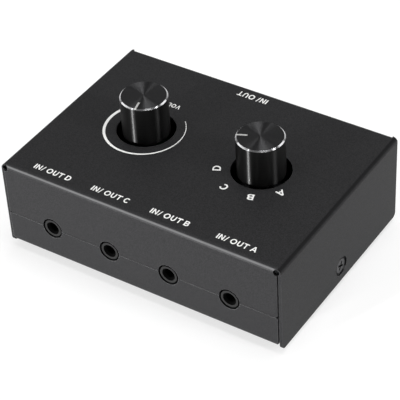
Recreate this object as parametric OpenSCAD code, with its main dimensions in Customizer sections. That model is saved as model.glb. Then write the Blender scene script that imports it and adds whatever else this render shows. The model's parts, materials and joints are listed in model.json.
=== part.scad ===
// Desktop audio source selector: a folded steel case with five sockets, a volume dial and a selector dial.
// Front is -Y and up is +Z. The origin is the middle of the footprint, on the surface that the feet stand on.

/* [Case] */
// Width over the sides of the cover
case_w = 100; // [96:1:140]
// Depth over the front and back flanges of the tray
case_d = 71.5; // [68:0.5:100]
// Height of the cover, from the lower edge of its sides to its top
case_h = 31.2; // [29:0.1:45]
// Thickness of the folded sheet
sheet = 1.0; // [0.8:0.1:1.2]
// Outside radius of every fold
fold_r = 1.6; // [1.4:0.1:2]
// Height of the seam above the lower edge of the cover's sides
seam_h = 12.5; // [12:0.1:14]
// Gap at the seam, between the flanges of the cover and the tray
seam_gap = 0.06; // [0.04:0.01:0.3]
// Size of the corner cut off each flange of the cover at the ends of the seam
seam_notch = 0.8; // [0.3:0.1:1.2]
// How far the tray's flanges stand out past the cover's
tray_proud = 0.12; // [0.05:0.01:0.3]
// Gap between a front or back flange and the side next to it
corner_gap = 0.25; // [0.15:0.05:0.7]
// How far the upright edges of the sides lie behind the front and the back
side_setback = 0.5; // [0.3:0.1:1]
// How far the sides reach below the tray
side_drop = 1.1; // [0.5:0.1:2]
// Radius of the lower corners of the sides
side_corner_r = 1.6; // [1:0.1:4]
// Diameter of the relief hole at each top corner
relief_d = 2; // [1.4:0.1:2.2]
// Distance of that hole's centre from the side of the case
relief_inset = 1.5; // [1.4:0.05:1.7]
// Depth of that hole's centre below the top, at the front
relief_sink = 1.25; // [1.2:0.05:1.5]
// The same at the back, where the hole stays under the fold's upper half
relief_back_sink = 1.85; // [1.8:0.05:2.2]
// Gap between the cover's sides and the tray's side flanges
side_gap = 0.8; // [0.7:0.1:1.2]
// Height of the tray's side flanges
tray_side_h = 9; // [8:0.5:12]
// Length of the tray's side flanges
tray_side_l = 62; // [40:1:64]

/* [Feet and screws] */
// Diameter of a rubber foot
foot_d = 8; // [6:0.5:12]
// Height of a rubber foot
foot_h = 3; // [2:0.1:5]
// Distance of a foot's centre from the side of the case
foot_inset_x = 8.5; // [8:0.5:10]
// Distance of a foot's centre from the front or back of the case
foot_inset_y = 8.5; // [8:0.5:9.5]
// Rounding at the lower edge of a foot
foot_edge_r = 0.6; // [0.2:0.1:1]
// Height of the side screws above the lower edge of the cover's sides
side_screw_h = 5.7; // [5.5:0.1:6.5]
// Radius of every screw's shank
screw_r = 1.5; // [1.2:0.1:1.5]
// Radius of a side screw's countersunk head
screw_head_r = 2.4; // [2.3:0.05:2.7]
// How deep a side screw's head lies below the face of the cover
screw_sink = 0.3; // [0.2:0.05:0.5]
// Radius of the hole round a side screw's head
screw_hole_r = 3.3; // [3.2:0.05:3.5]
// Depth of that hole, to the cone that the head rests in
screw_hole_depth = 0.7; // [0.5:0.05:0.8]
// Length of a side screw
screw_l = 6; // [5:0.5:8]
// Width of a screw's cross recess
recess_w = 0.7; // [0.5:0.05:0.9]
// Depth of a screw's cross recess
recess_depth = 0.6; // [0.4:0.1:0.7]
// Turn of a side screw's cross recess, as it was tightened
recess_turn = 28; // [0:1:90]
// Radius of a board screw's head
board_screw_head_r = 2.75; // [2.4:0.05:3]
// Height of a board screw's head
board_screw_head_h = 1.8; // [1.4:0.1:2.2]
// Length of a board screw's shank
board_screw_l = 6; // [4:0.5:6.5]
// Radius of a standoff, across its corners
standoff_r = 2.9; // [2.6:0.1:3.5]
// Radius of a standoff's shank in the tray
standoff_shank_r = 2.1; // [1.9:0.1:2.4]
// Distance of a standoff from the side edge of the board
standoff_inset_x = 4.5; // [4:0.1:6]
// Distance of a back standoff from the back edge of the board
standoff_inset_y = 13; // [12.5:0.5:18]

/* [Board] */
// Thickness of the circuit board
board_t = 1.6; // [1:0.1:2]
// Gap between the board and the flanges at the front and back
board_edge_gap = 1; // [0.5:0.1:2]
// Gap between the board and the ends of the side screws
board_side_gap = 1.2; // [0.5:0.1:3]

/* [Sockets] */
// Distance of the outer front sockets from the sides of the case
jack_inset = 17.75; // [15:0.05:20]
// Diameter of the hole for the plug
jack_bore_d = 3.6; // [3.55:0.01:3.7]
// Depth of the hole for the plug, from the face of the nose
jack_bore_depth = 14.2; // [14:0.1:14.6]
// Diameter of the nose
jack_nose_d = 6; // [5.6:0.1:6.6]
// Diameter of the hole in the flanges round the nose
jack_hole_d = 7.2; // [6.8:0.1:8]
// How far the face of the nose lies behind the front
jack_recess = 0.25; // [0.1:0.05:0.8]
// Width of the lead-in cone at the mouth of the socket
jack_lead_w = 0.5; // [0.3:0.05:0.6]
// Depth of the lead-in cone
jack_lead_l = 0.95; // [0.9:0.05:1.2]
// Width of a socket housing
jack_w = 11; // [10.6:0.1:13]
// Length of a socket housing behind the flange
jack_l = 14; // [13.8:0.1:16]
// Height of a socket's axis above the board
jack_axis_h = 3.5; // [3.2:0.1:4]
// Gap between the flange and the socket housing
jack_front_gap = 0.3; // [0.1:0.1:0.6]
// Distance of the first contact from the front
contact_start = 3; // [2.8:0.1:3]
// Length of a contact
contact_l = 3.4; // [3:0.1:3.5]
// Spacing of the contacts along a socket
contact_pitch = 3.6; // [3.6:0.05:3.7]
// Width of a contact strip
contact_w = 1.6; // [1.2:0.1:1.6]
// Thickness of a contact strip
contact_t = 0.3; // [0.2:0.05:0.4]
// Width of a contact's leg
contact_leg_w = 1; // [0.7:0.1:1.1]

/* [Dials] */
// Distance of the volume dial from the left side of the case
volume_inset = 29.4; // [26:0.1:31]
// Distance of the selector dial from the right side of the case
selector_inset = 28.5; // [26:0.1:31]
// Distance of the dials behind the middle of the case
dial_back = 1.3; // [0:0.1:2]
// Diameter of the hole in the cover round a knob
dial_hole_d = 19; // [16:0.1:20]
// Diameter of a knob
knob_d = 15.2; // [14:0.1:15.5]
// Height of a knob above the cover
knob_stand = 12.9; // [12:0.1:18]
// Depth of a knob's lower edge below the top of the cover
knob_sink = 1; // [0.5:0.1:1.5]
// Chamfer round the top of a knob
knob_chamfer = 0.45; // [0.2:0.05:0.8]
// Chamfer round the lower edge of a knob
knob_foot_chamfer = 0.3; // [0.1:0.05:0.5]
// Wall of a knob's metal shell
knob_wall = 1.5; // [1:0.1:2]
// Thickness of a knob's top
knob_top_t = 1.8; // [1.2:0.1:2.5]
// Width of the pointer line
pointer_w = 0.7; // [0.4:0.05:1]
// Depth of the pointer line's groove
pointer_depth = 0.3; // [0.15:0.05:0.5]
// Distance of the pointer line's inner end from the knob's axis
pointer_start = 3.9; // [2:0.1:5]
// Direction of the volume pointer as it is set, anticlockwise from +X
volume_at = -77; // [-200:1:20]
// Middle of the volume dial's travel
volume_middle = -90; // [-100:1:-80]
// Travel of the volume dial
volume_travel = 280; // [270:1:300]
// Direction of the selector pointer as it is set
selector_at = -156.5; // [-170:0.5:-140]
// Number of selector positions
selector_positions = 4; // [2:1:6]
// Angle between two selector positions
selector_step = 40; // [30:1:40]

/* [Volume control and selector switch] */
// Radius of both shafts
shaft_r = 3; // [2.9:0.05:3.1]
// How far a shaft reaches into its knob
shaft_grip = 11; // [8:0.5:11.5]
// Running clearance of a shaft in its bushing
shaft_clear = 0.05; // [0.02:0.01:0.09]
// Radius of a bushing
bushing_r = 3.5; // [3.4:0.05:4]
// Height of a bushing above its bracket
bushing_h = 6; // [4:0.5:7]
// Side of the square spindle below a shaft
spindle = 2.8; // [2.4:0.1:3]
// Width of the volume control
volume_w = 12.4; // [12:0.1:15]
// Length of the volume control
volume_l = 13.2; // [12:0.1:15]
// Thinnest wall round the hollow in a deck of the volume control
volume_wall = 1.2; // [0.8:0.05:1.3]
// Width and length of the selector switch
selector_w = 17; // [16.4:0.1:19]
// Thinnest wall round the hollow in a deck of the selector switch
selector_wall = 1.3; // [1.1:0.05:1.7]
// Height of one deck
deck_h = 3.6; // [3.5:0.05:3.7]
// Thickness of a deck's floor
deck_floor = 0.6; // [0.5:0.05:0.7]
// Thickness of a wafer
wafer_t = 0.4; // [0.3:0.05:0.5]
// Thickness of a rotor
rotor_t = 1.6; // [1.4:0.05:1.7]
// Thickness of a brush or blade under a rotor
brush_t = 0.4; // [0.3:0.05:0.45]
// Thickness of a bracket's top
bracket_t = 1; // [0.8:0.1:1.2]
// Thickness of a bracket's legs
bracket_leg_t = 0.5; // [0.4:0.1:0.8]
// Width of the tabs that hold a bracket in the board
tab_w = 3; // [2:0.1:5]
// Spacing of the terminals
pin_pitch = 2.5; // [2.3:0.1:2.54]
// Width of a terminal's leg
pin_w = 0.7; // [0.5:0.05:0.8]
// Thickness of a terminal's leg
pin_t = 0.3; // [0.2:0.05:0.4]
// How far legs, tabs and pegs reach below the board
pin_reach = 1.2; // [0.8:0.1:2]
// Height of the detent housing
detent_h = 3.4; // [3.2:0.05:3.6]
// Distance of the detent wheel from the sides of its housing
wheel_margin = 2.5; // [2.3:0.1:2.9]
// Thickness of the detent wheel
wheel_t = 2.2; // [1.6:0.1:2.3]
// Depth of the notches in the detent wheel
notch_depth = 0.25; // [0.15:0.05:0.3]
// Radius of the bump on the leaf spring
bump_r = 0.8; // [0.6:0.1:1]
// Thickness of the leaf spring
leaf_t = 0.3; // [0.2:0.05:0.4]

/* [Hidden] */
$fn = 64;
over = 1;              // how far a cutter runs past the face that it opens
touch = 0.02;          // clearance of pieces that are pressed or set in each other
loose = 0.15;          // clearance of legs, pegs and tabs in their holes
head_seat = 0.05;      // clearance under a countersunk head
slip = 0.05;           // clearance of pieces that turn over each other
rotor_margin = 1;      // gap between a rotor and the wall of its hollow
stop_w = 0.8;          // width of the stop in a hollow
tab_gap = 0.2;         // gap between a rotor's tab and the wall
tab_half = 12;         // half the angle that a rotor's tab takes up
stop_slack = 0.5;      // angle left between tab and stop at the end of the travel
brush_half = 20;       // half the angle that a brush takes up
collar_t = 0.4;        // thickness of the collar that keeps a shaft in
collar_r = 3.9;        // radius of that collar
pin_row = 0.9;         // distance of the lower deck's terminals from the deck
pin_row_step = 2;      // further distance of the upper deck's terminals
head_l = 1.4;          // length of a terminal's head
head_w = 1.2;          // width of a terminal's head
head_t = 0.3;          // thickness of a terminal's head
peg_r = 0.6;           // radius of a housing's pegs
peg_inset = 2.6;       // distance of a housing's pegs from its ends
leg_inset = 0.75;      // distance of a contact's leg from the side of its housing
window_lap = 0.72;     // how far a contact's window reaches into the bore
standoff_gap = 1.65;   // gap between a socket housing and the screw head behind it
recess_share = 0.68;   // reach of a cross recess, as a share of the head's radius
spindle_gap = 0.32;    // gap between the corners of a spindle and the holes it turns in
brush_share = 0.54;    // inner radius of a brush, as a share of its hollow's radius
pin_gap = 0.04;        // gap round a terminal in its wafer
bracket_leg_share = 2 / 3; // length of a bracket's legs, as a share of its top
wheel_gap = 0.3;       // gap round the detent wheel
leaf_inset = 2.1;      // distance of the leaf spring's ends from the sides of its housing
leaf_lap = 1.2;        // how far the leaf spring's slot reaches into the wheel's hollow
collar_wall = 0.8;     // wall of the tapped collars in the tray
bump_clear = 0.1;      // gap between the leaf spring's bump and the wheel

black_coat = "#2b2c2e";
black_plastic = "#1c1c1e";
dark_metal = "#232325";
steel = "#b4b6b8";
brass = "#c9a860";
white_ink = "#f2f2f0";
board_green = "#1f5a3a";
wafer_brown = "#6b4a2c";
grey_plastic = "#56585a";

z_tray = foot_h;
z_cover = z_tray - side_drop;
z_top = z_cover + case_h;
z_seam = z_cover + seam_h;
z_board_top = z_seam - jack_axis_h;
z_board = z_board_top - board_t;
z_tray_floor = z_tray + sheet;
z_screw = z_cover + side_screw_h;
z_knob = z_top - knob_sink;

fold_x = case_w / 2 - fold_r;
flange_end_x = case_w / 2 - sheet - corner_gap;
tray_half_w = case_w / 2 - sheet - side_gap;
cover_half_d = case_d / 2 - tray_proud;
side_half_d = case_d / 2 - side_setback;
board_half_w = case_w / 2 - screw_sink - screw_l - board_side_gap;
board_half_d = case_d / 2 - sheet - board_edge_gap;

jack_names = ["a", "b", "c", "d", "main"];
contact_names = ["sleeve", "ring", "tip"];
foot_names = ["front_left", "front_right", "back_left", "back_right"];
jack_pitch = (case_w - 2 * jack_inset) / 3;
jack_body_y = tray_proud + sheet + jack_front_gap;
jack_end_y = -case_d / 2 + jack_body_y + jack_l;
leg_x = jack_w / 2 - leg_inset;
peg_y = [jack_body_y + peg_inset, jack_body_y + jack_l - peg_inset];

screw_cone_r = screw_head_r + screw_sink + head_seat;
thread_r = screw_r + slip;
standoff_x = board_half_w - standoff_inset_x;
standoff_front_y = jack_end_y + standoff_gap + board_screw_head_r;
standoff_back_y = board_half_d - standoff_inset_y;
standoffs = [[-standoff_x, standoff_front_y], [standoff_x, standoff_front_y],
             [-standoff_x, standoff_back_y], [standoff_x, standoff_back_y]];

knob_r = knob_d / 2;
knob_h = knob_stand + knob_sink;
volume_place = [volume_inset - case_w / 2, dial_back];
selector_place = [case_w / 2 - selector_inset, dial_back];
volume_hollow_r = volume_w / 2 - volume_wall;
selector_hollow_r = selector_w / 2 - selector_wall;
wheel_r = selector_w / 2 - wheel_margin;
volume_pins = 3;
selector_pins = 5;
volume_top = 2 * deck_h;
selector_top = 2 * deck_h + detent_h;
selector_middle = selector_at + (selector_positions - 1) * selector_step / 2;
volume_stop_half = 180 - volume_travel / 2 - tab_half - stop_slack;
selector_stop_half = 180 - (selector_positions - 1) * selector_step / 2 - tab_half - stop_slack;
spindle_hole_r = spindle / sqrt(2) + spindle_gap;
leaf_y = wheel_r + bump_clear + bump_r;
leaf_half = selector_w / 2 - leaf_inset;
wheel_hollow_r = wheel_r + wheel_gap;

// Places of a socket: its X, and a point given from its own front as a point on the board
function jack_x(i) = i < 4 ? (1.5 - i) * jack_pitch : 0;
function jack_point(i, p) = i < 4 ? [jack_x(i) + p[0], p[1] - case_d / 2] : [-p[0], case_d / 2 - p[1]];
function contact_side(k) = k == 1 ? 1 : -1;
function contact_end(k) = contact_start + k * contact_pitch + contact_l;
function contact_leg_y(k) = contact_end(k) - contact_leg_w / 2 - loose;

// Terminals of a control, for both decks, from its own axis
function pin_y(l, deck) = -l / 2 - pin_row - deck * pin_row_step;
function pins(l, count) =
  [for (deck = [0, 1], i = [0:count - 1]) [(i - (count - 1) / 2) * pin_pitch, pin_y(l, deck)]];
function moved(points, place) = [for (p = points) p + place];

// Section of a folded channel with its open side down, from the middle of its open side
module channel_section(w, h) {
  difference() {
    arch_section(w, h, fold_r);
    translate([0, -over]) arch_section(w - 2 * sheet, h - sheet + over, fold_r - sheet);
  }
}

// Rectangle with its two upper corners rounded
module arch_section(w, h, r) {
  translate([-w / 2, 0]) square([w, h - r]);
  translate([r - w / 2, 0]) square([w - 2 * r, h]);
  for (side = [-1, 1]) translate([side * (w / 2 - r), h - r]) circle(r);
}

// Extrusion along X of a section drawn as seen from +X, and along Y of one drawn as seen from -Y
module along_x(l) rotate([90, 0, 90]) linear_extrude(l, center = true) children();
module along_y(l) rotate([90, 0, 0]) linear_extrude(l, center = true) children();

// Sector of a ring round the Z axis, its middle towards +X
module ring_sector(r_in, r_out, half, h) {
  steps = 12;
  edge = [for (k = [-steps:steps]) 2 * r_out * [cos(k * half / steps), sin(k * half / steps)]];
  intersection() {
    difference() {
      cylinder(r = r_out, h = h);
      translate([0, 0, -over]) cylinder(r = r_in, h = h + 2 * over);
    }
    translate([0, 0, -over]) linear_extrude(h + 2 * over) polygon(concat([[0, 0]], edge));
  }
}

// Frame of a side screw: its axis runs inwards from the face of the cover
module at_side_screw(side) {
  translate([side * case_w / 2, 0, z_screw]) rotate([0, -90 * side, 0]) children();
}

module at_jack(i) {
  rotate(i < 4 ? 0 : 180) translate([jack_x(i), -case_d / 2, z_seam]) children();
}

module at_volume(z) translate([volume_place[0], volume_place[1], z_board_top + z]) children();
module at_selector(z) translate([selector_place[0], selector_place[1], z_board_top + z]) children();

// Holes in the flanges round the noses of the sockets
module jack_holes() {
  for (i = [0:4]) at_jack(i)
    translate([0, -over, 0]) rotate([-90, 0, 0]) cylinder(d = jack_hole_d, h = jack_body_y + over);
}

// Sides of the cover with the folds that join them to the top
module cover_sides() {
  intersection() {
    translate([0, 0, z_cover]) along_y(2 * side_half_d) channel_section(case_w, case_h);
    translate([0, 0, z_cover]) along_x(case_w + over)
      translate([0, case_h]) mirror([0, 1]) arch_section(2 * side_half_d, case_h, side_corner_r);
    for (side = [-1, 1]) translate([side * (fold_x + case_w / 2), 0, case_h / 2])
      cube([case_w, 2 * case_d, 3 * case_h], center = true);
  }
}

// Top of the cover with its front and back flanges, their lower corners cut off
module cover_top() {
  lower_edge = z_seam + seam_gap / 2;
  notch = seam_notch * sqrt(2);
  difference() {
    union() {
      translate([0, 0, lower_edge]) along_x(2 * fold_x) channel_section(2 * cover_half_d, z_top - lower_edge);
      for (side = [-1, 1]) translate([-flange_end_x, side * (cover_half_d - sheet / 2) - sheet / 2, lower_edge])
        cube([2 * flange_end_x, sheet, z_top - fold_r - lower_edge]);
    }
    for (x = [-flange_end_x, flange_end_x], side = [-1, 1]) translate([x, side * cover_half_d, lower_edge])
      along_y(4 * sheet) rotate(45) square(notch, center = true);
  }
}

// Round holes through the folds, where the front and back flanges end
module relief_holes() {
  reach = case_w / 2 - relief_inset;
  for (x = [-reach, reach], end = [[-1, relief_sink], [1, relief_back_sink]])
    translate([x, end[0] * case_d / 2, z_top - end[1]]) along_y(2 * fold_r) circle(d = relief_d);
}

// Dimple that takes a countersunk head through the sheet and rests on the tray's side flange
module dimple() {
  foot_r = screw_hole_r + sheet / 2;
  translate([0, 0, sheet / 2]) cylinder(r1 = foot_r, r2 = foot_r - side_gap, h = side_gap + sheet / 2);
}

module dimple_cut() {
  cone_h = screw_cone_r - thread_r;
  translate([0, 0, -over]) cylinder(r = screw_hole_r, h = screw_hole_depth + over);
  translate([0, 0, -over]) cylinder(r1 = screw_cone_r + over, r2 = thread_r, h = cone_h + over);
  translate([0, 0, -over]) cylinder(r = thread_r, h = sheet + side_gap + 2 * over);
}

module top_cover() {
  color(black_coat) difference() {
    union() {
      cover_top();
      cover_sides();
      for (side = [-1, 1]) at_side_screw(side) dimple();
    }
    relief_holes();
    jack_holes();
    for (place = [volume_place, selector_place]) translate([place[0], place[1], z_top - 2 * sheet])
      cylinder(d = dial_hole_d, h = 4 * sheet);
    for (side = [-1, 1]) at_side_screw(side) dimple_cut();
  }
}

// Tray with turned-up flanges on all four sides and a tapped collar for each side screw
module bottom_tray() {
  flange_h = z_seam - seam_gap / 2 - z_tray;
  color(black_coat) difference() {
    union() {
      translate([0, 0, z_tray]) along_x(2 * tray_half_w)
        translate([0, flange_h]) mirror([0, 1]) channel_section(case_d, flange_h);
      translate([0, 0, z_tray]) along_y(tray_side_l)
        translate([0, tray_side_h]) mirror([0, 1]) channel_section(2 * tray_half_w, tray_side_h);
      for (y = [-case_d / 2, case_d / 2 - sheet]) translate([-flange_end_x, y, z_tray + fold_r])
        cube([2 * flange_end_x, sheet, flange_h - fold_r]);
      for (side = [-1, 1]) at_side_screw(side)
        translate([0, 0, sheet + side_gap]) cylinder(r = thread_r + collar_wall, h = 2 * sheet);
    }
    jack_holes();
    for (p = standoffs) translate([p[0], p[1], z_tray - over])
      cylinder(r = standoff_shank_r + touch, h = sheet + 2 * over);
    for (side = [-1, 1]) at_side_screw(side) cylinder(r = thread_r, h = 4 * sheet + side_gap);
  }
}

module cross_recess(r) {
  for (turn = [0, 90]) rotate(turn) translate([-r, -recess_w / 2, -over])
    cube([2 * r, recess_w, recess_depth + over]);
}

module cover_screws() {
  color(dark_metal) for (side = [-1, 1]) at_side_screw(side) translate([0, 0, screw_sink]) difference() {
    union() {
      cylinder(r1 = screw_head_r, r2 = screw_r, h = screw_head_r - screw_r);
      cylinder(r = screw_r, h = screw_l);
    }
    rotate(recess_turn) cross_recess(screw_head_r * recess_share);
  }
}

// Rubber foot with a rounded lower edge
module foot(i) {
  x = (case_w / 2 - foot_inset_x) * (i % 2 == 0 ? -1 : 1);
  y = (case_d / 2 - foot_inset_y) * (i < 2 ? -1 : 1);
  r = foot_d / 2;
  steps = 6;
  turns = [for (k = [0:steps]) 90 * k / steps];
  edge = [for (t = turns) [r - foot_edge_r, foot_edge_r] + foot_edge_r * [sin(t), -cos(t)]];
  color(black_plastic) translate([x, y, 0]) rotate_extrude()
    polygon(concat([[0, foot_h], [0, 0]], edge, [[r, foot_h]]));
}

// Hexagonal standoffs, their shanks set in the tray
module board_standoffs() {
  color(steel) for (p = standoffs) translate([p[0], p[1], 0]) difference() {
    union() {
      translate([0, 0, z_tray_floor]) cylinder(r = standoff_r, h = z_board - z_tray_floor, $fn = 6);
      translate([0, 0, z_tray]) cylinder(r = standoff_shank_r, h = sheet + touch);
    }
    translate([0, 0, z_tray - over]) cylinder(r = thread_r, h = z_board);
  }
}

module board_screws() {
  color(steel) for (p = standoffs) translate([p[0], p[1], z_board_top]) difference() {
    union() {
      cylinder(r = board_screw_head_r, h = board_screw_head_h);
      translate([0, 0, -board_screw_l]) cylinder(r = screw_r, h = board_screw_l + touch);
    }
    translate([0, 0, board_screw_head_h]) mirror([0, 0, 1]) cross_recess(board_screw_head_r * recess_share);
  }
}

// Round holes through the board, all of one radius
module board_drill(points, r) {
  for (p = points) translate([p[0], p[1], z_board - over]) cylinder(r = r, h = board_t + 2 * over);
}

// Slots for the tabs of a bracket of width w
module bracket_slots(place, w) {
  for (side = [-1, 1]) translate([place[0] + side * (w + bracket_leg_t) / 2, place[1], z_board + board_t / 2])
    cube([bracket_leg_t + 2 * loose, tab_w + 2 * loose, board_t + 2 * over], center = true);
}

module circuit_board() {
  color(board_green) difference() {
    translate([-board_half_w, -board_half_d, z_board]) cube([2 * board_half_w, 2 * board_half_d, board_t]);
    board_drill(standoffs, screw_r + loose);
    board_drill([for (i = [0:4], k = [0:2]) jack_point(i, [contact_side(k) * leg_x, contact_leg_y(k)])],
      contact_leg_w / 2 + loose);
    board_drill([for (i = [0:4], y = peg_y) jack_point(i, [0, y])], peg_r + loose / 2);
    board_drill(moved(pins(volume_l, volume_pins), volume_place), pin_w / 2 + loose);
    board_drill(moved(pins(selector_w, selector_pins), selector_place), pin_w / 2 + loose);
    bracket_slots(volume_place, volume_w);
    bracket_slots(selector_place, selector_w);
  }
}

// Windows in a housing for one contact and its leg
module contact_window(k) {
  mirror([contact_side(k) < 0 ? 1 : 0, 0, 0]) {
    translate([jack_bore_d / 2 - window_lap, contact_end(k) - contact_l, -contact_w / 2 - loose])
      cube([jack_w, contact_l, contact_w + 2 * loose]);
    leg_w = contact_leg_w + 2 * loose;
    translate([leg_x - contact_t / 2 - loose, contact_end(k) - leg_w, -jack_axis_h - over])
      cube([jack_w, leg_w, jack_axis_h + over]);
  }
}

module jack_housing(i) {
  color(black_plastic) at_jack(i) difference() {
    union() {
      translate([-jack_w / 2, jack_body_y, -jack_axis_h]) cube([jack_w, jack_l, 2 * jack_axis_h]);
      translate([0, jack_recess, 0]) rotate([-90, 0, 0]) cylinder(d = jack_nose_d, h = jack_body_y);
      for (y = peg_y) translate([0, y, -jack_axis_h - board_t]) cylinder(r = peg_r, h = board_t + touch);
    }
    translate([0, jack_recess, 0]) rotate([-90, 0, 0]) {
      translate([0, 0, -over]) cylinder(d = jack_bore_d, h = jack_bore_depth + over);
      cylinder(r1 = jack_bore_d / 2 + jack_lead_w, r2 = jack_bore_d / 2, h = jack_lead_l);
    }
    for (k = [0:2]) contact_window(k);
  }
}

// Contact strip that lies beside the bore, with its leg through the board
module jack_contact(i, k) {
  bore_side = jack_bore_d / 2 + loose;
  end = contact_end(k) - loose;
  color(brass) at_jack(i) mirror([contact_side(k) < 0 ? 1 : 0, 0, 0]) {
    translate([bore_side, contact_end(k) - contact_l + loose, -contact_w / 2])
      cube([contact_t, contact_l - 2 * loose, contact_w]);
    translate([bore_side, end - contact_t, -contact_w / 2])
      cube([leg_x + contact_t / 2 - bore_side, contact_t, contact_w]);
    translate([leg_x - contact_t / 2, end - contact_leg_w, -jack_axis_h - board_t - pin_reach])
      cube([contact_t, contact_leg_w, jack_axis_h + board_t + pin_reach + contact_w / 2]);
  }
}

// Deck of a control: a block with a round hollow, a stop in it and a slot for the wafer's tongue
module deck(w, l, hollow_r, pin_count, stop_half, middle) {
  tongue_w = pin_count * pin_pitch + 2 * touch;
  color(grey_plastic) {
    difference() {
      translate([-w / 2, -l / 2, 0]) cube([w, l, deck_h]);
      translate([0, 0, deck_floor]) cylinder(r = hollow_r, h = deck_h);
      translate([0, 0, -over]) cylinder(r = spindle_hole_r, h = deck_h);
      translate([-tongue_w / 2, -l / 2 - over, deck_floor]) cube([tongue_w, l / 2, wafer_t + touch]);
    }
    translate([0, 0, deck_floor + wafer_t + touch]) rotate(middle + 180)
      ring_sector(hollow_r - stop_w, hollow_r + touch, stop_half, deck_h - deck_floor - wafer_t - touch);
  }
}

// Wafer with a tongue out to its row of terminals
module wafer(l, hollow_r, pin_count, level) {
  row_y = pin_y(l, level);
  color(wafer_brown) translate([0, 0, level * deck_h + deck_floor]) difference() {
    union() {
      cylinder(r = hollow_r - touch, h = wafer_t);
      translate([-pin_count * pin_pitch / 2, row_y - head_w / 2 - loose, 0])
        cube([pin_count * pin_pitch, -row_y, wafer_t]);
    }
    translate([0, 0, -over]) cylinder(r = spindle_hole_r, h = wafer_t + 2 * over);
    for (p = pins(l, pin_count)) if (p[1] == row_y)
      translate([p[0], p[1], -over]) cylinder(r = pin_w / 2 + pin_gap, h = wafer_t + 2 * over);
  }
}

// Terminals of both decks: a head on the wafer and a leg through the board
module terminals(l, pin_count) {
  color(brass) for (level = [0, 1]) for (p = pins(l, pin_count)) if (p[1] == pin_y(l, level)) {
    top = level * deck_h + deck_floor + wafer_t;
    translate([p[0] - pin_w / 2, p[1] - pin_t / 2, -board_t - pin_reach])
      cube([pin_w, pin_t, board_t + pin_reach + top + head_t]);
    translate([p[0] - head_l / 2, p[1] - head_w / 2, top]) cube([head_l, head_w, head_t]);
  }
}

// Sheet bracket over a control, with a leg and a tab on each side
module bracket(w, l, top) {
  leg_l = l * bracket_leg_share;
  color(steel) {
    difference() {
      translate([-w / 2 - bracket_leg_t, -l / 2, top]) cube([w + 2 * bracket_leg_t, l, bracket_t]);
      translate([0, 0, top - over]) cylinder(r = bushing_r + touch, h = bracket_t + 2 * over);
    }
    for (side = [-1, 1]) translate([side * (w + bracket_leg_t) / 2, 0, 0]) {
      translate([-bracket_leg_t / 2, -leg_l / 2, 0]) cube([bracket_leg_t, leg_l, top + touch]);
      translate([-bracket_leg_t / 2, -tab_w / 2, -board_t - pin_reach])
        cube([bracket_leg_t, tab_w, board_t + pin_reach + touch]);
    }
  }
}

module bushing(top) {
  color(brass) translate([0, 0, top]) difference() {
    cylinder(r = bushing_r, h = bracket_t + bushing_h);
    translate([0, 0, -over]) cylinder(r = shaft_r + shaft_clear, h = bracket_t + bushing_h + 2 * over);
  }
}

// Rotor with a square hole for the spindle and a tab that meets the deck's stop
module rotor(hollow_r, level) {
  hole = spindle + 2 * touch;
  color(black_plastic) translate([0, 0, level * deck_h + deck_floor + wafer_t + slip + brush_t]) {
    difference() {
      cylinder(r = hollow_r - rotor_margin, h = rotor_t);
      translate([-hole / 2, -hole / 2, -over]) cube([hole, hole, rotor_t + 2 * over]);
    }
    ring_sector(hollow_r - rotor_margin - touch, hollow_r - tab_gap, tab_half, rotor_t);
  }
}

// Springy metal pieces under the rotors that touch the wafers
module brushes(hollow_r) {
  color(brass) for (level = [0, 1]) translate([0, 0, level * deck_h + deck_floor + wafer_t + slip])
    ring_sector(hollow_r * brush_share, hollow_r - rotor_margin - tab_gap, brush_half, brush_t);
}

// Shaft with a collar under the bracket and a square spindle through the decks
module shaft(top) {
  collar_z = top - slip - collar_t;
  foot_z = deck_floor + tab_gap;
  color(steel) {
    translate([0, 0, collar_z]) cylinder(r = shaft_r, h = z_knob + shaft_grip - z_board_top - collar_z);
    translate([0, 0, collar_z]) cylinder(r = collar_r, h = collar_t);
    translate([-spindle / 2, -spindle / 2, foot_z]) cube([spindle, spindle, collar_z - foot_z + touch]);
  }
}

// Housing of the detent, with a round hollow for the wheel and a slot for the leaf spring
module selector_detent_housing() {
  color(steel) at_selector(2 * deck_h) difference() {
    translate([-selector_w / 2, -selector_w / 2, 0]) cube([selector_w, selector_w, detent_h]);
    translate([0, 0, deck_floor]) cylinder(r = wheel_hollow_r, h = detent_h);
    translate([0, 0, -over]) cylinder(r = spindle_hole_r, h = detent_h);
    translate([-leaf_half - touch, wheel_hollow_r - leaf_lap, deck_floor])
      cube([2 * (leaf_half + touch), leaf_y + leaf_t + touch - wheel_hollow_r + leaf_lap, detent_h]);
  }
}

module selector_detent_spring() {
  h = wheel_t - 2 * slip;
  color(steel) at_selector(2 * deck_h + deck_floor + slip) intersection() {
    union() {
      translate([-leaf_half, leaf_y, 0]) cube([2 * leaf_half, leaf_t, h]);
      translate([0, leaf_y, 0]) cylinder(r = bump_r, h = h);
    }
    translate([-leaf_half, 0, 0]) cube([2 * leaf_half, leaf_y + leaf_t, h]);
  }
}

// Wheel with one notch for each position, the set one under the spring's bump
module selector_detent_wheel() {
  notch_r = bump_r + slip;
  hole = spindle + 2 * touch;
  color(black_plastic) at_selector(2 * deck_h + deck_floor + slip) difference() {
    cylinder(r = wheel_r, h = wheel_t);
    rotate(selector_at) translate([-hole / 2, -hole / 2, -over]) cube([hole, hole, wheel_t + 2 * over]);
    for (k = [0:selector_positions - 1]) rotate(90 - k * selector_step)
      translate([wheel_r - notch_depth + notch_r, 0, -over]) cylinder(r = notch_r, h = wheel_t + 2 * over);
  }
}

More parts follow.
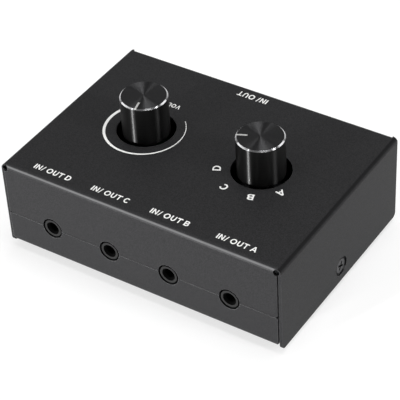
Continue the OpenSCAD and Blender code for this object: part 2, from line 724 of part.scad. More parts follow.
// Outside of a knob, from its lower edge up
module knob_blank() {
  rim_z = knob_h - knob_chamfer;
  cylinder(r1 = knob_r - knob_foot_chamfer, r2 = knob_r, h = knob_foot_chamfer);
  translate([0, 0, knob_foot_chamfer]) cylinder(r = knob_r, h = rim_z - knob_foot_chamfer);
  translate([0, 0, rim_z]) cylinder(r1 = knob_r, r2 = knob_r - knob_chamfer, h = knob_chamfer);
}

module pointer_line(w, depth) {
  translate([pointer_start - (w - pointer_w) / 2, -w / 2, knob_h - depth]) cube([knob_r, w, depth + over]);
}

module at_knob(place, angle) translate([place[0], place[1], z_knob]) rotate(angle) children();

module knob() {
  color(dark_metal) difference() {
    knob_blank();
    translate([0, 0, -over]) cylinder(r = knob_r - knob_wall, h = knob_h - knob_top_t + over);
    pointer_line(pointer_w, pointer_depth);
  }
}

// Plastic core that grips the shaft
module knob_insert() {
  core_h = knob_h - knob_top_t - knob_foot_chamfer;
  color(black_plastic) difference() {
    translate([0, 0, knob_foot_chamfer]) cylinder(r = knob_r - knob_wall - touch, h = core_h);
    translate([0, 0, -over]) cylinder(r = shaft_r + touch, h = shaft_grip + touch + over);
  }
}

module pointer() {
  color(white_ink) intersection() {
    knob_blank();
    pointer_line(pointer_w - 2 * touch, pointer_depth - touch);
  }
}

top_cover();
bottom_tray();
cover_screws();
for (i = [0:3]) foot(i);
board_standoffs();
board_screws();
circuit_board();
for (i = [0:4]) jack_housing(i);
for (i = [0:4], k = [0:2])
  jack_contact(i, k);

at_volume(0) deck(volume_w, volume_l, volume_hollow_r, volume_pins, volume_stop_half, volume_middle);  // volume_lower_deck
at_volume(deck_h) deck(volume_w, volume_l, volume_hollow_r, volume_pins, volume_stop_half, volume_middle);  // volume_upper_deck
at_volume(0) for (level = [0, 1]) wafer(volume_l, volume_hollow_r, volume_pins, level);  // volume_wafers
at_volume(0) terminals(volume_l, volume_pins);  // volume_terminals
at_volume(0) bracket(volume_w, volume_l, volume_top);  // volume_bracket
at_volume(0) bushing(volume_top);  // volume_bushing
at_volume(0) rotate(volume_at) rotor(volume_hollow_r, 0);  // volume_lower_rotor
at_volume(0) rotate(volume_at) rotor(volume_hollow_r, 1);  // volume_upper_rotor
at_volume(0) rotate(volume_at) brushes(volume_hollow_r);  // volume_brushes
at_volume(0) rotate(volume_at) shaft(volume_top);  // volume_shaft
at_knob(volume_place, volume_at) knob_insert();  // volume_knob_insert
at_knob(volume_place, volume_at) knob();  // volume_knob
at_knob(volume_place, volume_at) pointer();  // volume_pointer

at_selector(0)  // selector_lower_deck
    deck(selector_w, selector_w, selector_hollow_r, selector_pins, selector_stop_half, selector_middle);
at_selector(deck_h)  // selector_upper_deck
    deck(selector_w, selector_w, selector_hollow_r, selector_pins, selector_stop_half, selector_middle);
at_selector(0) for (level = [0, 1]) wafer(selector_w, selector_hollow_r, selector_pins, level);  // selector_wafers
at_selector(0) terminals(selector_w, selector_pins);  // selector_terminals
selector_detent_housing();
selector_detent_spring();
at_selector(0) bracket(selector_w, selector_w, selector_top);  // selector_bracket
at_selector(0) bushing(selector_top);  // selector_bushing
at_selector(0) rotate(selector_at) rotor(selector_hollow_r, 0);  // selector_lower_rotor
at_selector(0) rotate(selector_at) rotor(selector_hollow_r, 1);  // selector_upper_rotor
at_selector(0) rotate(selector_at) brushes(selector_hollow_r);  // selector_blades
selector_detent_wheel();
at_selector(0) rotate(selector_at) shaft(selector_top);  // selector_shaft
at_knob(selector_place, selector_at) knob_insert();  // selector_knob_insert
at_knob(selector_place, selector_at) knob();  // selector_knob
at_knob(selector_place, selector_at) pointer();  // selector_pointer
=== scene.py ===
import json
import math

import bpy
import numpy as np
from mathutils import Matrix, Vector
from mathutils.geometry import delaunay_2d_cdt


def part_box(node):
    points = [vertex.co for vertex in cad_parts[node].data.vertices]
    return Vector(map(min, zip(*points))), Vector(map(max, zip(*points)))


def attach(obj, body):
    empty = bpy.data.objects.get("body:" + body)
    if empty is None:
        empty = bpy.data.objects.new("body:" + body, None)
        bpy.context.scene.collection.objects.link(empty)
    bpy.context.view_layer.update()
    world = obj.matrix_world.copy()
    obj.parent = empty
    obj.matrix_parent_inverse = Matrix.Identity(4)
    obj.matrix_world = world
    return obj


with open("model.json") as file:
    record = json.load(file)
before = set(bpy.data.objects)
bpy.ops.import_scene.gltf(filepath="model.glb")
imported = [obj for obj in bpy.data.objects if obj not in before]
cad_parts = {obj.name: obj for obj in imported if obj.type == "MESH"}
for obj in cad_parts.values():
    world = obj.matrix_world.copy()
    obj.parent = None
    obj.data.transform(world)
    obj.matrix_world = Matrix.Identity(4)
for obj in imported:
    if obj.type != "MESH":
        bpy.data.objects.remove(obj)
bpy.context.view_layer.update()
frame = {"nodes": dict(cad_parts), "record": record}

scene = bpy.context.scene
mm = 0.001


# Middle of a node's box: half the sum of its lowest and highest corners
def middle(node):
    low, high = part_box(node)
    return (low + high) / 2


# Places that the frame gives: height of the panel, axes and size of the dials
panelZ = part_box("top_cover")[1].z
volumeAxis = middle("volume_knob")
selectorAxis = middle("selector_knob")
knobLow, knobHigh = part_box("volume_knob")
knobRadius = (knobHigh.x - knobLow.x) / 2
print("frame: panel at %.1f mm, dials at x %.1f and %.1f mm"
      % (panelZ / mm, volumeAxis.x / mm, selectorAxis.x / mm))


# Colours and nodes

# An sRGB hex colour as linear red, green, blue and alpha: each channel over 12.92 where it is dark,
# and otherwise raised to 2.4 after the usual offset
def linear(hexColour):
    channels = [int(hexColour[k:k + 2], 16) / 255 for k in (1, 3, 5)]
    return tuple(c / 12.92 if c <= 0.04045 else ((c + 0.055) / 1.055) ** 2.4 for c in channels) + (1.0,)


# Adds a node: settings are its properties, and sockets maps an input to a value or to an output to link
def addNode(tree, kind, sockets=None, **settings):
    node = tree.nodes.new(kind)
    for name, value in settings.items():
        setattr(node, name, value)
    for name, value in (sockets or {}).items():
        if isinstance(value, bpy.types.NodeSocket):
            tree.links.new(value, node.inputs[name])
        else:
            node.inputs[name].default_value = value
    return node


# A material with one Principled shader, whose sockets take the given constants
def newMaterial(name, **sockets):
    material = bpy.data.materials.new(name)
    material.use_nodes = True
    shader = material.node_tree.nodes["Principled BSDF"]
    for key, value in sockets.items():
        shader.inputs[key.replace("_", " ")].default_value = value
    return material, material.node_tree, shader


# Noise values at which a surface takes its dark and its light colour. The painted edge highlight comes in
# from the first value to the second, by how well the rounded normal agrees with the flat one. So do the
# painted highlight and painted shade of the two kinds of bends of a folded sheet, by the product of the
# normal's parts.
surface = dict(dark=0.35, light=0.65, detail=3.0, edgeSamples=6,
               edge=(0.97, 0.8), ridge=(0.44, 0.49), hollow=(0.17, 0.35))


# Moulded, painted or plated surface: a noise with grains of the given size in millimetres moves the
# colour from dark to light and lifts the surface by up to the bump height, also in millimetres. Edges
# are shaded as if rounded to the edge radius, and take a painted highlight colour. The bends of a folded
# sheet take two more colours: a painted highlight where the top turns to the front or back, and a
# painted shade where it turns to a side.
def grained(name, grain, dark, light, roughness, bump, edge=0.0, paintedEdgeHighlight="", ridge="", hollow="", **sockets):
    material, tree, shader = newMaterial(name, Roughness=roughness, **sockets)
    coordinates = addNode(tree, "ShaderNodeTexCoord").outputs
    noise = addNode(tree, "ShaderNodeTexNoise", {"Vector": coordinates["Object"], "Scale": 1 / (grain * mm),
                                                 "Detail": surface["detail"]}).outputs["Fac"]
    ramp = addNode(tree, "ShaderNodeValToRGB", {"Fac": noise})
    for end, position, tone in ((0, surface["dark"], dark), (1, surface["light"], light)):
        ramp.color_ramp.elements[end].position = position
        ramp.color_ramp.elements[end].color = linear(tone)
    relief = addNode(tree, "ShaderNodeBump", {"Height": noise, "Distance": bump * mm, "Strength": 1.0})
    colour = ramp.outputs["Color"]
    if edge:
        rounded = addNode(tree, "ShaderNodeBevel", {"Radius": edge * mm},
                          samples=surface["edgeSamples"]).outputs["Normal"]
        tree.links.new(rounded, relief.inputs["Normal"])
        # How far the rounded normal turns away from the flat one tells where an edge is
        flat = addNode(tree, "ShaderNodeNewGeometry").outputs["True Normal"]
        agreement = addNode(tree, "ShaderNodeVectorMath", {0: rounded, 1: flat}, operation="DOT_PRODUCT")
        # On a bend the normal leans up and sideways at once. The product of its two parts, with the upward
        # one squared for the side bend to favour its upper half, tells how far the middle is.
        lean = addNode(tree, "ShaderNodeSeparateXYZ", {"Vector": coordinates["Normal"]}).outputs
        across = addNode(tree, "ShaderNodeMath", {0: lean["Y"], 1: lean["Z"]}, operation="MULTIPLY")
        across = addNode(tree, "ShaderNodeMath", {0: across.outputs[0]}, operation="ABSOLUTE")
        aside = addNode(tree, "ShaderNodeMath", {0: lean["X"], 1: lean["Z"]}, operation="MULTIPLY")
        aside = addNode(tree, "ShaderNodeMath", {0: aside.outputs[0], 1: lean["Z"]}, operation="MULTIPLY")
        aside = addNode(tree, "ShaderNodeMath", {0: aside.outputs[0]}, operation="ABSOLUTE")
        # Painted shade on the side bends, painted highlight on the front and back bends and on the edges
        for amount, (start, full), tone in ((aside.outputs[0], surface["hollow"], hollow),
                                            (across.outputs[0], surface["ridge"], ridge),
                                            (agreement.outputs["Value"], surface["edge"], paintedEdgeHighlight)):
            mask = addNode(tree, "ShaderNodeMapRange", {"Value": amount, "From Min": start,
                                                        "From Max": full}).outputs["Result"]
            colour = addNode(tree, "ShaderNodeMix", {"Factor": mask, "A": colour, "B": linear(tone)},
                             data_type="RGBA").outputs["Result"]
    tree.links.new(colour, shader.inputs["Base Color"])
    tree.links.new(relief.outputs["Normal"], shader.inputs["Normal"])
    return material


# Finishes

# The coat's bend colours are a painted highlight on the front and back bends and a painted shade on the
# side bends
coat = dict(grain=0.3, dark="#232324", light="#313132", roughness=0.38, bump=0.015, edge=0.2,
            ridge="#606061", hollow="#19191a", Specular_IOR_Level=0.06)
slotFinish = {
    # Powder coat on folded steel: fused grains leave a fine satin texture, and its edges and bends carry
    # painted highlight and painted shade
    "case_coat": grained("powder_coated_steel", paintedEdgeHighlight="#606061", **coat),
    # Black zinc on pressed screws: a thin dark layer on metal, with soft reflections
    "black_steel": grained("black_zinc_screw_steel", 0.25, "#38383a", "#454547", 0.38, 0.003, Metallic=1.0),
    # Natural rubber with carbon black, moulded: matt and nearly black
    "rubber_foot": grained("moulded_black_rubber", 0.2, "#161616", "#1f1f1f", 0.85, 0.01),
    # Bright zinc on standoffs, their screws, shafts and the detent: bluish metal with small spangles
    "plated_steel": grained("zinc_plated_steel", 0.8, "#a9adb2", "#c3c6c9", 0.34, 0.002, Metallic=1.0),
    # Glass fibre board under green solder mask: glossy lacquer over a fine weave
    "glass_fibre_board": grained("solder_masked_board", 0.35, "#0f3f24", "#154d2c", 0.3, 0.004),
    # Glass-filled nylon on rotors and inserts, moulded: black, satin, faint flow mottling
    "black_plastic": grained("moulded_black_nylon", 0.4, "#0c0c0c", "#121212", 0.5, 0.003,
                             Specular_IOR_Level=0.3),
    # Brass, stamped: warm pale metal
    "contact_brass": grained("stamped_brass", 0.6, "#9c7f42", "#b3965a", 0.3, 0.002, Metallic=1.0),
    # Phenolic paper, punched: brown with darker fibres
    "phenolic_wafer": grained("punched_phenolic_paper", 0.5, "#3a2716", "#4a331f", 0.6, 0.006),
    # Acetal, moulded: mid grey, slightly waxy
    "grey_plastic": grained("moulded_grey_acetal", 0.4, "#515456", "#5e6163", 0.45, 0.003),
    # Enamel brushed into the pointer grooves: white and fairly glossy
    "white_line": grained("white_enamel_fill", 0.4, "#a8a8a6", "#b6b6b4", 0.4, 0.002),
}
# Screen-printed ink: off-white, thin, slightly uneven cover
ink = grained("screen_printed_white_ink", 0.3, "#eaeae8", "#f4f4f2", 0.45, 0.003)

# Depth of the rim, width of a band and height of the grooves are in millimetres. A quarter turn of the
# anisotropy makes reflections spread across the grooves and not along them.
turned = dict(side="#2f2f2f", face="#3c3c3d", rim="#c8c8ca", rimDepth=0.43,
              roughness=0.32, faceRoughness=0.38, rimRoughness=0.18, anisotropy=1.0, quarterTurn=0.25,
              band=0.25, bandDetail=2.0, bandContrast=0.2, bump=0.0003)


# Turned aluminium, dyed black in the anodising bath and then cut bright round the rim. The grooves of
# the lathe run round the axis, so reflections spread across them: upright streaks on the side and a
# bow tie on the face. Distance from the axis and depth below the top tell side, face and rim apart.
def turnedKnob(name, axis):
    material, tree, shader = newMaterial(name, Metallic=1.0, Anisotropic=turned["anisotropy"],
                                         Anisotropic_Rotation=turned["quarterTurn"])
    place = addNode(tree, "ShaderNodeTexCoord").outputs["Object"]
    centred = addNode(tree, "ShaderNodeMapping",
                      {"Vector": place, "Location": (-axis.x, -axis.y, -knobHigh.z)}).outputs["Vector"]
    level = addNode(tree, "ShaderNodeVectorMath", {0: centred, 1: (1, 1, 0)}, operation="MULTIPLY")
    radius = addNode(tree, "ShaderNodeVectorMath", {0: level.outputs["Vector"]},
                     operation="LENGTH").outputs["Value"]
    depth = addNode(tree, "ShaderNodeSeparateXYZ", {"Vector": centred}).outputs["Z"]
    rimDepth = turned["rimDepth"] * mm
    high = addNode(tree, "ShaderNodeMath", {0: depth, 1: -rimDepth}, operation="GREATER_THAN").outputs[0]
    outer = addNode(tree, "ShaderNodeMath", {0: radius, 1: knobRadius - rimDepth},
                    operation="GREATER_THAN").outputs[0]
    onRim = addNode(tree, "ShaderNodeMath", {0: high, 1: outer}, operation="MULTIPLY").outputs[0]
    sideOrFace = addNode(tree, "ShaderNodeMix", {"Factor": high, "A": linear(turned["side"]),
                                                 "B": linear(turned["face"])}, data_type="RGBA")
    # Bands a few grooves wide are a little lighter or darker, along the radius and down the side
    along = addNode(tree, "ShaderNodeMath", {0: radius, 1: depth}, operation="SUBTRACT")
    bands = addNode(tree, "ShaderNodeTexNoise",
                    {"W": along.outputs[0], "Scale": 1 / (turned["band"] * mm),
                     "Detail": turned["bandDetail"]}, noise_dimensions="1D").outputs["Fac"]
    shade = addNode(tree, "ShaderNodeMapRange", {"Value": bands, "To Min": 1 - turned["bandContrast"],
                                                 "To Max": 1 + turned["bandContrast"]})
    banded = addNode(tree, "ShaderNodeVectorMath", {0: sideOrFace.outputs["Result"],
                                                    "Scale": shade.outputs["Result"]}, operation="SCALE")
    colour = addNode(tree, "ShaderNodeMix", {"Factor": onRim, "A": banded.outputs["Vector"],
                                             "B": linear(turned["rim"])}, data_type="RGBA")
    faceOrSide = addNode(tree, "ShaderNodeMapRange", {"Value": high, "To Min": turned["roughness"],
                                                      "To Max": turned["faceRoughness"]})
    roughness = addNode(tree, "ShaderNodeMapRange", {"Value": onRim, "To Min": faceOrSide.outputs["Result"],
                                                     "To Max": turned["rimRoughness"]})
    grooves = addNode(tree, "ShaderNodeBump", {"Height": bands, "Distance": turned["bump"] * mm,
                                               "Strength": 1.0})
    roundAxis = addNode(tree, "ShaderNodeTangent", direction_type="RADIAL", axis="Z")
    tree.links.new(colour.outputs["Result"], shader.inputs["Base Color"])
    tree.links.new(roughness.outputs["Result"], shader.inputs["Roughness"])
    tree.links.new(grooves.outputs["Normal"], shader.inputs["Normal"])
    tree.links.new(roundAxis.outputs["Tangent"], shader.inputs["Tangent"])
    return material


# Depth of the nose's face is in millimetres
# The inside colour is a painted shade in the mouth of each socket
mouth = dict(face=0.1, inside="#020202", ring="#262626", insideRoughness=1.0, ringRoughness=0.5,
             specular=0.08)


# Socket housings: satin nylon on the face of the nose, and near-black painted shade in the mouth and behind
# the face.
# The face is where the distance from the middle of the case is within its depth of the farthest point.
def socketNylon():
    reach = max(-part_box("jack_a_housing")[0].y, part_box("jack_main_housing")[1].y)
    material, tree, shader = newMaterial("moulded_black_nylon_socket", Specular_IOR_Level=mouth["specular"])
    place = addNode(tree, "ShaderNodeTexCoord").outputs["Object"]
    along = addNode(tree, "ShaderNodeSeparateXYZ", {"Vector": place}).outputs["Y"]
    away = addNode(tree, "ShaderNodeMath", {0: along}, operation="ABSOLUTE")
    onFace = addNode(tree, "ShaderNodeMath", {0: away.outputs[0], 1: reach - mouth["face"] * mm},
                     operation="GREATER_THAN").outputs[0]
    colour = addNode(tree, "ShaderNodeMix", {"Factor": onFace, "A": linear(mouth["inside"]),
                                             "B": linear(mouth["ring"])}, data_type="RGBA")
    roughness = addNode(tree, "ShaderNodeMapRange", {"Value": onFace, "To Min": mouth["insideRoughness"],
                                                     "To Max": mouth["ringRoughness"]})
    tree.links.new(colour.outputs["Result"], shader.inputs["Base Color"])
    tree.links.new(roughness.outputs["Result"], shader.inputs["Roughness"])
    return material


# Every CAD node takes the finish of its slot in the record, unless it has one of its own
ownFinish = {"volume_knob": turnedKnob("turned_black_anodised_volume_knob", volumeAxis),
             "selector_knob": turnedKnob("turned_black_anodised_selector_knob", selectorAxis)}
housings = ["jack_%s_housing" % name for name in ("a", "b", "c", "d", "main")]
ownFinish.update(dict.fromkeys(housings, socketNylon()))
# The tray has the same powder coat, with a brighter painted highlight on its edges: they show as a light
# seam at the front
ownFinish["bottom_tray"] = grained("powder_coated_steel_tray", paintedEdgeHighlight="#7a7a7b", **coat)
# Brackets in black zinc and brass bushings blackened in a bath: they show through the holes for the dials
ownFinish.update(dict.fromkeys(["volume_bracket", "selector_bracket"], slotFinish["black_steel"]))
blackBrass = grained("blackened_brass", 0.3, "#1a1815", "#24211d", 0.5, 0.003, Metallic=1.0)
ownFinish.update(dict.fromkeys(["volume_bushing", "selector_bushing"], blackBrass))
for part in frame["record"]["subparts"]:
    node = frame["nodes"][part["node"]]
    finish = ownFinish.get(part["node"]) or slotFinish[part["material_slot"]]
    if not node.material_slots:
        node.data.materials.append(None)
    for slot in node.material_slots:
        slot.material = finish
print("finishes on %d nodes" % len(frame["nodes"]))


# Printed legend. Letter shapes are closed outlines in units of the cap height, made of bars and bows.

stroke = 0.21      # upright strokes, in cap heights
thin = 0.19        # level strokes


# A closed outline with straight edges from corner to corner
def bar(*corners):
    return np.array(corners, float)


# Part of a ring as a closed outline: forwards along an ellipse from start to end, in degrees, and back
# along a smaller one with the same centre
def bow(x, y, rx, ry, start, end, steps=20):
    turn = np.radians(np.linspace(start, end, steps))
    edge = np.column_stack((np.cos(turn), np.sin(turn)))
    return np.vstack((edge * [rx, ry], (edge * [rx - stroke, ry - thin])[::-1])) + [x, y]


stem = bar((0, 0), (stroke, 0), (stroke, 1), (0, 1))
# Each letter: its width and its outlines
letters = {
    "A": (0.98, [bar((0, 0), (0.21, 0), (0.49, 0.76), (0.77, 0), (0.98, 0), (0.6, 1), (0.38, 1)),
                 bar((0.15, 0.22), (0.83, 0.22), (0.77, 0.39), (0.21, 0.39))]),
    "B": (0.8, [stem, bar((0.1, 0), (0.46, 0), (0.46, thin), (0.1, thin)),
                bar((0.1, 0.42), (0.46, 0.42), (0.46, 0.59), (0.1, 0.59)),
                bar((0.1, 1 - thin), (0.44, 1 - thin), (0.44, 1), (0.1, 1)),
                bow(0.46, 0.295, 0.34, 0.295, -90, 90), bow(0.44, 0.71, 0.32, 0.29, -90, 90)]),
    "C": (0.88, [bow(0.47, 0.5, 0.47, 0.52, 40, 320)]),
    "D": (0.88, [stem, bar((0.1, 0), (0.4, 0), (0.4, thin), (0.1, thin)),
                 bar((0.1, 1 - thin), (0.4, 1 - thin), (0.4, 1), (0.1, 1)),
                 bow(0.4, 0.5, 0.48, 0.5, -90, 90)]),
    "I": (stroke, [stem]),
    "L": (0.64, [stem, bar((0.1, 0), (0.64, 0), (0.64, thin), (0.1, thin))]),
    "N": (0.8, [bar((0, 0), (stroke, 0), (stroke, 0.7), (0.6, 0), (0.8, 0), (0.8, 1), (0.61, 1),
                    (0.61, 0.3), (0.2, 1), (0, 1))]),
    "O": (1.02, [bow(0.51, 0.5, 0.51, 0.52, 0, 180), bow(0.51, 0.5, 0.51, 0.52, 180, 360)]),
    "T": (0.84, [bar((0, 1 - thin), (0.84, 1 - thin), (0.84, 1), (0, 1)),
                 bar((0.325, 0), (0.515, 0), (0.515, 0.9), (0.325, 0.9))]),
    "U": (0.8, [bow(0.4, 0.39, 0.4, 0.41, 180, 360), bar((0, 0.39), (stroke, 0.39), (stroke, 1), (0, 1)),
                bar((0.61, 0.39), (0.8, 0.39), (0.8, 1), (0.61, 1))]),
    "V": (0.92, [bar((0, 1), (0.35, 0), (0.57, 0), (0.92, 1), (0.71, 1), (0.46, 0.26), (0.21, 1))]),
    "/": (0.44, [bar((0, -0.02), (0.16, -0.02), (0.44, 1.02), (0.28, 1.02))]),
}


# Outlines of a word in millimetres on the panel: letters side by side, stretched to the given span
# and cap height, centred at a place and turned by an angle in degrees
def word(text, centre, cap, span, turn=0.0, gap=0.17, space=0.3):
    outlines, x = [], 0.0
    for letter in text:
        if letter == " ":
            x += space
            continue
        width, shapes = letters[letter]
        outlines += [shape + [x, 0] for shape in shapes]
        x += width + gap
    stretch = np.array([span / (x - gap), cap])
    c, s = math.cos(math.radians(turn)), math.sin(math.radians(turn))
    rotation = np.array([[c, s], [-s, c]])
    return [(shape * stretch - [span / 2, cap / 2]) @ rotation + centre for shape in outlines]


# Outline of a wedge bent round a centre, in millimetres: its outer edge forwards and its inner edge back,
# each half the width from the middle radius, while the width runs evenly from wide to narrow
def bentWedge(centre, radius, start, end, wide, narrow, steps):
    turn = np.radians(np.linspace(start, end, steps))
    half = np.linspace(wide, narrow, steps)[:, None] / 2
    spoke = np.column_stack((np.cos(turn), np.sin(turn)))
    return np.vstack((spoke * (radius + half), (spoke * (radius - half))[::-1])) + centre


# Millimetres under and over the panel's surface, and the distance within which points are one
inkLayer = dict(below=0.004, above=0.02, merge=1e-5)


# Printed piece: the outlines are merged into one flat area, which becomes a thin slab of ink with an
# upper face, a lower face and a wall along every open edge
def printed(name, outlines):
    # An outline whose signed area is negative is turned round, so that all run counter-clockwise
    points = [o if np.sum(o[:, 0] * np.roll(o[:, 1], -1) - np.roll(o[:, 0], -1) * o[:, 1]) > 0 else o[::-1]
              for o in outlines]
    ends = np.cumsum([len(o) for o in points])
    loops = [list(range(end - len(o), end)) for o, end in zip(points, ends)]
    insideOnly = 1     # keeps only the triangles inside the outlines
    flat, _, triangles, _, _, sources = delaunay_2d_cdt(
        [Vector(p) for p in np.vstack(points)], [], loops, insideOnly, inkLayer["merge"])
    top = np.array([t for t, source in zip(triangles, sources) if source])
    # An edge that no triangle runs along the other way is an open one
    edges = np.vstack((top[:, [0, 1]], top[:, [1, 2]], top[:, [2, 0]]))
    count = len(flat)
    oneWay = edges[:, 0] * count + edges[:, 1]
    rim = edges[~np.isin(oneWay, edges[:, 1] * count + edges[:, 0])]
    plane = np.array([tuple(p) for p in flat]) * mm
    level = np.ones((count, 1))
    vertices = np.vstack((np.hstack((plane, level * (panelZ + inkLayer["above"] * mm))),
                          np.hstack((plane, level * (panelZ - inkLayer["below"] * mm)))))
    walls = np.column_stack((rim[:, 1], rim[:, 0], rim[:, 0] + count, rim[:, 1] + count))
    mesh = bpy.data.meshes.new(name)
    mesh.from_pydata(vertices.tolist(), [], top.tolist() + (top[:, ::-1] + count).tolist() + walls.tolist())
    mesh.validate()
    piece = bpy.data.objects.new(name, mesh)
    scene.collection.objects.link(piece)
    piece.data.materials.append(ink)
    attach(piece, "case")
    return piece


# Sizes and places of the legend are in millimetres, angles in degrees
volumeArc = dict(centre=(-20.93, 1.0), radius=12.93, start=135, end=406, wide=1.15, narrow=0.18, steps=120)
volumeLabel = dict(text="VOL", centre=(-19.4, 15.4), cap=1.75, span=4.4, turn=180)
printed("volumeArcPrint", [bentWedge(**volumeArc)])
printed("volumeLabelPrint", word(**volumeLabel))

# Letters round the selector, their tops outwards
selectorLetters = dict(cap=2.6, centres={"D": (9.3, -4.7), "C": (15.97, -11.27), "B": (25.37, -11.43),
                                         "A": (32.27, -5.37)})
selectorCentre = np.array([selectorAxis.x, selectorAxis.y]) / mm
outlines = []
for letter, centre in selectorLetters["centres"].items():
    outward = centre - selectorCentre
    outlines += word(letter, centre, selectorLetters["cap"], letters[letter][0] * selectorLetters["cap"],
                     turn=math.degrees(math.atan2(outward[1], outward[0])) - 90)
printed("selectorLetterPrint", outlines)

socketLabels = dict(y=-30.97, cap=2.15, span=13.5,
                    centres={"D": -33.27, "C": -11.75, "B": 9.65, "A": 32.83})
backLabel = dict(text="IN/ OUT", centre=(0.0, 31.45), cap=2.3, span=10.9, turn=180)
outlines = []
for letter, x in socketLabels["centres"].items():
    outlines += word("IN/ OUT " + letter, (x, socketLabels["y"]), socketLabels["cap"], socketLabels["span"])
printed("frontLabelPrint", outlines)
printed("backLabelPrint", word(**backLabel))
print("legend printed")


# Studio: a pale floor that runs up into a low wall all round, with a dim room above it

# A profile of radius and height carried once round the vertical axis: x and y are the radius times the
# cosine and the sine of the turn
def revolved(name, profile, count=96):
    turn = np.linspace(0, 2 * math.pi, count, endpoint=False)
    r, z = np.array(profile).T
    height = np.broadcast_to(z[:, None], (len(r), count))
    grid = np.stack((r[:, None] * np.cos(turn), r[:, None] * np.sin(turn), height), -1)
    row, column = np.meshgrid(np.arange(len(r) - 1), np.arange(count), indexing="ij")
    after = (column + 1) % count
    quads = np.stack((row * count + column, (row + 1) * count + column,
                      (row + 1) * count + after, row * count + after), -1)
    mesh = bpy.data.meshes.new(name)
    mesh.from_pydata(grid.reshape(-1, 3).tolist(), [], quads.reshape(-1, 4).tolist())
    mesh.shade_smooth()
    piece = bpy.data.objects.new(name, mesh)
    scene.collection.objects.link(piece)
    return piece


# Radii of the flat floor's rings and of its bend, and the wall's height, are in metres. The smallest ring
# is open: it lies under the case.
studio = dict(floorRings=(0.001, 0.5, 1.5), floorRadius=2.6, bend=0.25, bendSteps=13, wall=0.45,
              paint="#f2f2f2", roughness=0.9, backdrop=0.58, backdropStrength=1.15, room=0.17)
profile = [(ring, 0.0) for ring in studio["floorRings"]]
for turn in np.radians(np.linspace(0, 90, studio["bendSteps"])):
    profile.append((studio["floorRadius"] + studio["bend"] * math.sin(turn),
                    studio["bend"] * (1 - math.cos(turn))))
profile.append((studio["floorRadius"] + studio["bend"], studio["wall"]))
floor = revolved("studioFloor", profile)

# Matt wall paint. What the camera, a gloss or a glass sees of it is mostly plain white, and the rest is
# the painted surface itself, so the shadow under the case still shows.
floorPaint, tree, shader = newMaterial("matt_studio_paint", Roughness=studio["roughness"])
shader.inputs["Base Color"].default_value = linear(studio["paint"])
rays = addNode(tree, "ShaderNodeLightPath").outputs
seen = addNode(tree, "ShaderNodeMath", {0: rays["Is Camera Ray"], 1: rays["Is Glossy Ray"]},
               operation="ADD")
seen = addNode(tree, "ShaderNodeMath", {0: seen.outputs[0], 1: rays["Is Transmission Ray"]},
               operation="ADD", use_clamp=True)
share = addNode(tree, "ShaderNodeMath", {0: seen.outputs[0], 1: studio["backdrop"]}, operation="MULTIPLY")
glow = addNode(tree, "ShaderNodeEmission", {"Strength": studio["backdropStrength"]})
mixed = addNode(tree, "ShaderNodeMixShader", {"Fac": share.outputs[0], 1: shader.outputs["BSDF"],
                                              2: glow.outputs["Emission"]})
tree.links.new(mixed.outputs["Shader"], tree.nodes["Material Output"].inputs["Surface"])
floor.data.materials.append(floorPaint)

world = bpy.data.worlds.new("studioRoom")
world.use_nodes = True
room = world.node_tree.nodes["Background"].inputs
room["Color"].default_value = (1, 1, 1, 1)
room["Strength"].default_value = studio["room"]
scene.world = world

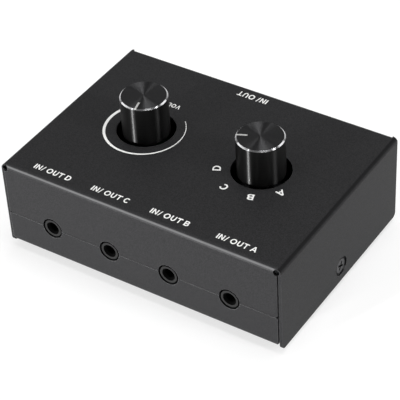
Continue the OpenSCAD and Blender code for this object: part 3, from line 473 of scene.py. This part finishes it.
# Lamps: plan angle and elevation from the object in degrees, distance, width and height in metres, and
# brightness of the lamp's face, where 1 is white. Two narrow ones, low at the front and high at the left,
# draw thin streaks on the turned knobs. Wide ones stand overhead and at the right, and three dim panels
# lighten what these leave dark.
lamps = {
    "stripLamp": dict(plan=-110.5, up=3.5, away=1.2, width=0.02, height=0.14, bright=2650),
    "lineLamp": dict(plan=-168, up=62, away=1.2, width=0.02, height=0.3, bright=60),
    "overheadLamp": dict(plan=35, up=83, away=1.4, width=1.0, height=0.45, bright=6.5),
    "rightLamp": dict(plan=2, up=23, away=1.5, width=0.28, height=0.6, bright=16.5),
    "rightPanel": dict(plan=48, up=28, away=1.6, width=0.9, height=0.7, bright=1.6),
    "leftPanel": dict(plan=-147, up=22, away=1.6, width=1.7, height=0.8, bright=1.5),
    "backPanel": dict(plan=125, up=42, away=1.6, width=1.5, height=1.1, bright=0.42),
}
lampAim = Vector((0, 0, 0.02))   # in metres, inside the case


# Unit vector at a plan angle and an elevation in degrees: the plan angle's cosine and sine, each times
# the elevation's cosine, and the elevation's sine
def towards(plan, up):
    plan, up = math.radians(plan), math.radians(up)
    return Vector((math.cos(plan) * math.cos(up), math.sin(plan) * math.cos(up), math.sin(up)))


# A lamp's power is its brightness times pi times its area
for name, lamp in lamps.items():
    light = bpy.data.lights.new(name, "AREA")
    light.shape = "RECTANGLE"
    light.size, light.size_y = lamp["width"], lamp["height"]
    light.energy = lamp["bright"] * math.pi * lamp["width"] * lamp["height"]
    piece = bpy.data.objects.new(name, light)
    direction = towards(lamp["plan"], lamp["up"])
    piece.location = lampAim + direction * lamp["away"]
    piece.rotation_euler = direction.to_track_quat("Z", "Y").to_euler()
    scene.collection.objects.link(piece)
print("lamps placed")


# Camera: at the photograph's angle, turned a little about its own axis. Angles are in degrees, places and
# distances in metres, lens and sensor in millimetres.
view = dict(plan=34.922 - 90, up=39.637, roll=-3.480, away=0.536181, aim=(0.001260, -0.003105, 0.016056),
            lens=154.367, sensor=36.0, nearest=0.01, farthest=20)
back = towards(view["plan"], view["up"])
right = Vector((-math.sin(math.radians(view["plan"])), math.cos(math.radians(view["plan"])), 0))
up = back.cross(right)
cosRoll, sinRoll = math.cos(math.radians(view["roll"])), math.sin(math.radians(view["roll"]))
right, up = right * cosRoll + up * sinRoll, up * cosRoll - right * sinRoll
data = bpy.data.cameras.new("photoCamera")
data.lens, data.sensor_width = view["lens"], view["sensor"]
data.clip_start, data.clip_end = view["nearest"], view["farthest"]
camera = bpy.data.objects.new("photoCamera", data)
axes = Matrix((right, up, back)).transposed().to_4x4()
camera.matrix_world = Matrix.Translation(Vector(view["aim"]) + back * view["away"]) @ axes
scene.collection.objects.link(camera)
bpy.context.scene.camera = camera
scene.view_settings.view_transform = "Standard"
print("camera placed")
